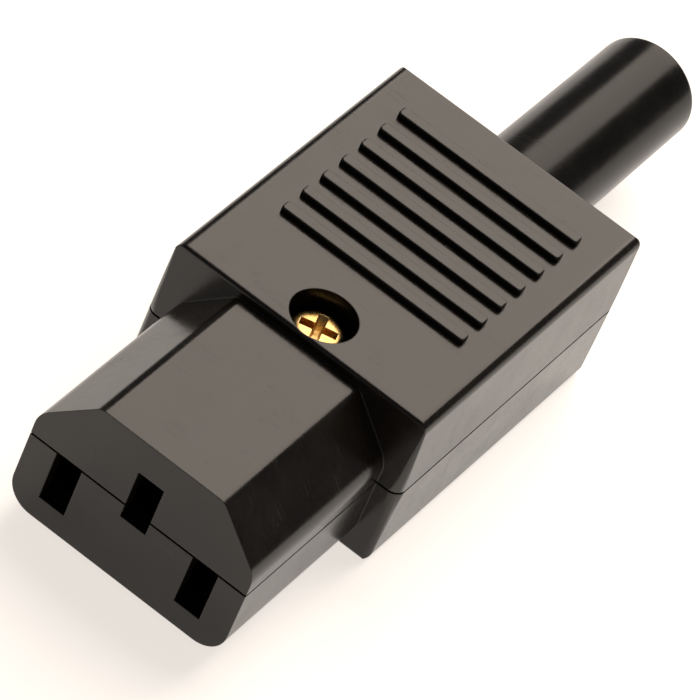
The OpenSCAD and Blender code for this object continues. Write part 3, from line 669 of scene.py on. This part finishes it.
def makeBoot(sizes):
    low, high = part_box("cord_boot")
    axisZ = (low[2] + high[2]) / 2
    collar = (high[0] - low[0]) / 2 / mm
    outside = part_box("lower_shell")[1][1] / mm + sizes["clear"]  # just behind the housing's rear face
    profile = bootProfile(sizes, low[1] / mm, high[1] / mm + sizes["reach"], collar, outside)
    turns = [2 * math.pi * i / sizes["sides"] for i in range(sizes["sides"])]
    bm = bmesh.new()
    rings = [[bm.verts.new((radius * mm * math.cos(a), station * mm, axisZ + radius * mm * math.sin(a)))
              for a in turns] for station, radius in profile]
    for index, ring in enumerate(rings):
        following = rings[(index + 1) % len(rings)]
        for i in range(sizes["sides"]):
            j = (i + 1) % sizes["sides"]
            bm.faces.new((ring[i], ring[j], following[j], following[i]))
    bmesh.ops.recalc_face_normals(bm, faces=bm.faces)
    piece = pieceFrom("cordBoot", bm, "boot_rubber")
    smoothByAngle(piece, sizes["sharp"])
    register(piece, "boot_rubber", "cord_boot")


# Bevelled copies of the other moulded and machined pieces: name, edge width and slot of each
softEdges = {
    "lower_shell": ("lowerShell", 0.12, "housing_plastic"),
    "cord_clamp": ("cordClamp", 0.15, "clamp_plastic"),
    "line_terminal_block": ("lineTerminalBlock", 0.12, "terminal_brass"),
    "neutral_terminal_block": ("neutralTerminalBlock", 0.12, "terminal_brass"),
    "earth_terminal_block": ("earthTerminalBlock", 0.12, "terminal_brass"),
    "line_contact": ("lineContact", 0.06, "contact_brass"),
    "neutral_contact": ("neutralContact", 0.06, "contact_brass"),
    "earth_contact": ("earthContact", 0.06, "contact_brass"),
}


def makeSoftened(node, name, width, slotName):
    bm = weldedCopy(node)
    joinFlats(bm)
    piece = pieceFrom(name, bm, slotName)
    softenEdges(piece, width * mm)
    smoothByAngle(piece)
    register(piece, slotName, node)


makeUpperShell(upperShellSizes)
makeGripRibs(ribSizes)
makeScrews("coverScrew", ["cover_screw"], 1.7, crossHead, "screw_brass", 0.3)
makeScrews("clampScrews", ["left_clamp_screw", "right_clamp_screw"], 1.6, crossHead, "clamp_screw_steel", 0.6)
makeScrews("terminalScrews", ["line_terminal_screw", "neutral_terminal_screw", "earth_terminal_screw"],
           1.3, slotHead, "screw_brass", 0.4)
makeBoot(bootSizes)
for node, (name, width, slotName) in softEdges.items():
    makeSoftened(node, name, width, slotName)
print("pieces made")

# Floor and light
studio = {
    "floor": 3.0, "floorColour": (0.88, 0.88, 0.88, 1), "floorRough": 0.9, "floorShine": 0.1,
    "glow": 0.74, "glowColour": (1.0, 0.93, 0.86, 1), "world": 0.1, "warm": (1.0, 0.88, 0.765),
    "distance": 1.2, "wide": 0.85, "deep": 1.4, "direction": (-0.075, 0.68, 0.73), "power": 13.8,
}


def makeFloor(values):
    size = values["floor"]
    mesh = bpy.data.meshes.new("studioFloor")
    corners = [(-size, -size, 0), (size, -size, 0), (size, size, 0), (-size, size, 0)]
    mesh.from_pydata(corners, [], [(0, 1, 2, 3)])
    floor = bpy.data.objects.new("studioFloor", mesh)
    scene.collection.objects.link(floor)
    paper = bpy.data.materials.new("studioPaper")
    paper.use_nodes = True
    shader = paper.node_tree.nodes["Principled BSDF"].inputs
    for label, key in (("Base Color", "floorColour"), ("Roughness", "floorRough"),
                       ("Specular IOR Level", "floorShine"), ("Emission Color", "glowColour"),
                       ("Emission Strength", "glow")):
        shader[label].default_value = values[key]
    mesh.materials.append(paper)


def makeLight(values):
    world = bpy.data.worlds.new("studioWorld")
    world.use_nodes = True
    world.node_tree.nodes["Background"].inputs["Color"].default_value = (1, 1, 1, 1)
    world.node_tree.nodes["Background"].inputs["Strength"].default_value = values["world"]
    scene.world = world
    middle = (Vector(cadLow) + Vector(cadHigh)) / 2
    lamp = bpy.data.lights.new("softbox", "AREA")
    lamp.shape = "RECTANGLE"
    lamp.size = values["wide"]
    lamp.size_y = values["deep"]
    lamp.energy = values["power"]
    lamp.color = values["warm"]
    light = bpy.data.objects.new("softbox", lamp)
    scene.collection.objects.link(light)
    away = Vector(values["direction"]).normalized()
    light.location = middle + away * values["distance"]
    light.rotation_euler = away.to_track_quat("Z", "Y").to_euler()


makeFloor(studio)
makeLight(studio)
scene.view_settings.view_transform = "Standard"
print("studio made")
